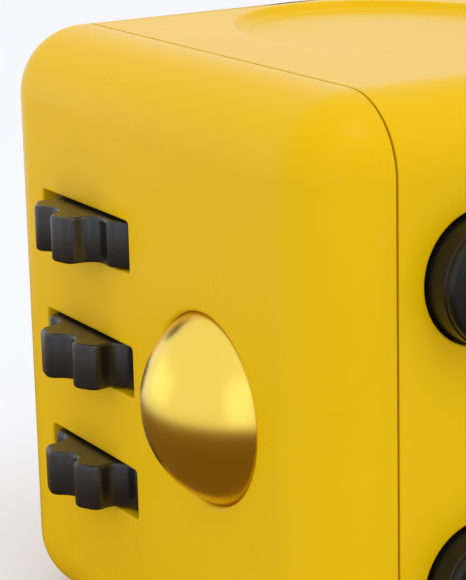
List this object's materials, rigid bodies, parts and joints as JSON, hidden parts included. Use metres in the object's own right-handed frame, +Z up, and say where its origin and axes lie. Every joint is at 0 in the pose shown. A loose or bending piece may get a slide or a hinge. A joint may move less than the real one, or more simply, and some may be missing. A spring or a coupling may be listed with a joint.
{
  "type": "fidget cube",
  "caption": "Pocket desk toy: a rounded plastic cube whose faces carry toothed rollers and a thumb ball, push buttons, a joystick, a rocker switch, a dial and a thumb dish.",
  "frame": {"origin": "middle of the flat face that the cube rests on, level with the head of the dial's hub screw", "axes": "+Z up through the thumb dish, -Y out of the rollers and ball, +X out of the push buttons, -X out of the joystick, +Y out of the rocker switch, -Z out of the dial"},
  "size_m": [0.0372, 0.0378, 0.033],
  "materials": {
    "casing_yellow": "satin moulded ABS, soft to the touch",
    "control_black": "fine-grained satin moulded ABS",
    "ball_gold": "satin gold-coloured plating on a steel ball",
    "inner_grey": "natural moulded acetal",
    "steel": "bright drawn and turned steel",
    "spring_steel": "spring wire and strip",
    "silicone_white": "matt moulded silicone",
    "board_green": "lacquered glass-fibre board"
  },
  "bodies": {
    "casing": {"front_cover": "casing_yellow", "middle_shell": "casing_yellow", "back_cover": "casing_yellow", "joystick_washer": "control_black", "top_plate": "inner_grey", "bottom_plate": "inner_grey", "roller_chassis": "control_black", "roller_spacer_1": "control_black", "roller_spacer_2": "control_black", "roller_spacer_3": "control_black", "roller_spacer_4": "control_black", "joystick_base": "inner_grey", "rocker_base": "inner_grey", "roller_axle": "steel", "rocker_pin": "steel", "dial_hub_screw": "steel", "dial_nut": "steel", "plate_screw_1": "steel", "plate_screw_2": "steel", "plate_screw_3": "steel", "plate_screw_4": "steel", "snap_dome_1": "steel", "snap_dome_3": "steel", "snap_dome_4": "steel", "roller_click_spring": "spring_steel", "ball_spring": "spring_steel", "joystick_spring": "spring_steel", "rocker_click_spring": "spring_steel", "dial_friction_washer": "spring_steel", "soft_pad_2": "silicone_white", "soft_pad_5": "silicone_white", "button_board": "board_green"},
    "roller_upper_body": {"roller_upper": "control_black"},
    "roller_middle_body": {"roller_middle": "control_black"},
    "roller_lower_body": {"roller_lower": "control_black"},
    "ball_carrier": {"ball_cup": "control_black"},
    "ball_body": {"thumb_ball": "ball_gold"},
    "button_1": {"push_button_1": "control_black"},
    "button_2": {"push_button_2": "control_black"},
    "button_3": {"push_button_3": "control_black"},
    "button_4": {"push_button_4": "control_black"},
    "button_5": {"push_button_5": "control_black"},
    "gimbal": {"gimbal_ring": "inner_grey"},
    "stick": {"joystick_stem": "inner_grey", "joystick_cap": "control_black"},
    "rocker": {"rocker_paddle": "control_black"},
    "dial": {"spin_dial": "control_black"}
  },
  "joints": [
    {"name": "roller_upper_spin", "type": "hinge", "parent": "casing", "child": "roller_upper_body", "pos_m": [-0.00648, -0.014, 0.02317], "axis": [0, 0, 1], "continuous": true},
    {"name": "roller_middle_spin", "type": "hinge", "parent": "casing", "child": "roller_middle_body", "pos_m": [-0.00648, -0.014, 0.01646], "axis": [0, 0, 1], "continuous": true},
    {"name": "roller_lower_spin", "type": "hinge", "parent": "casing", "child": "roller_lower_body", "pos_m": [-0.00648, -0.014, 0.00975], "axis": [0, 0, 1], "continuous": true},
    {"name": "ball_press", "type": "slide", "parent": "casing", "child": "ball_carrier", "axis": [0, 1, 0], "range_m": [0, 0.0008], "stiffness_N_per_m": 900, "deforming": ["ball_spring"]},
    {"name": "ball_roll", "type": "hinge", "parent": "ball_carrier", "child": "ball_body", "pos_m": [0.00582, -0.014, 0.0165], "axis": [1, 0, 0], "continuous": true},
    {"name": "button_1_press", "type": "slide", "parent": "casing", "child": "button_1", "axis": [-1, 0, 0], "range_m": [0, 0.0008], "stiffness_N_per_m": 1200, "deforming": ["snap_dome_1"]},
    {"name": "button_2_press", "type": "slide", "parent": "casing", "child": "button_2", "axis": [-1, 0, 0], "range_m": [0, 0.0008], "stiffness_N_per_m": 1200, "deforming": ["soft_pad_2"]},
    {"name": "button_3_press", "type": "slide", "parent": "casing", "child": "button_3", "axis": [-1, 0, 0], "range_m": [0, 0.0008], "stiffness_N_per_m": 1200, "deforming": ["snap_dome_3"]},
    {"name": "button_4_press", "type": "slide", "parent": "casing", "child": "button_4", "axis": [-1, 0, 0], "range_m": [0, 0.0008], "stiffness_N_per_m": 1200, "deforming": ["snap_dome_4"]},
    {"name": "button_5_press", "type": "slide", "parent": "casing", "child": "button_5", "axis": [-1, 0, 0], "range_m": [0, 0.0008], "stiffness_N_per_m": 1200, "deforming": ["soft_pad_5"]},
    {"name": "stick_tilt_vertical", "type": "hinge", "parent": "casing", "child": "gimbal", "pos_m": [-0.0125, 0, 0.0165], "axis": [0, 1, 0], "range_deg": [-12, 12], "stiffness_Nm_per_rad": 0.02, "deforming": ["joystick_spring"]},
    {"name": "stick_tilt_sideways", "type": "hinge", "parent": "gimbal", "child": "stick", "pos_m": [-0.0125, 0, 0.0165], "axis": [0, 0, 1], "range_deg": [-12, 12], "stiffness_Nm_per_rad": 0.02},
    {"name": "rocker_flip", "type": "hinge", "parent": "casing", "child": "rocker", "pos_m": [0, 0.0136, 0.0165], "axis": [1, 0, 0], "range_deg": [0, 22]},
    {"name": "dial_spin", "type": "hinge", "parent": "casing", "child": "dial", "pos_m": [0, 0, 0.0005], "axis": [0, 0, -1], "continuous": true}
  ]
}
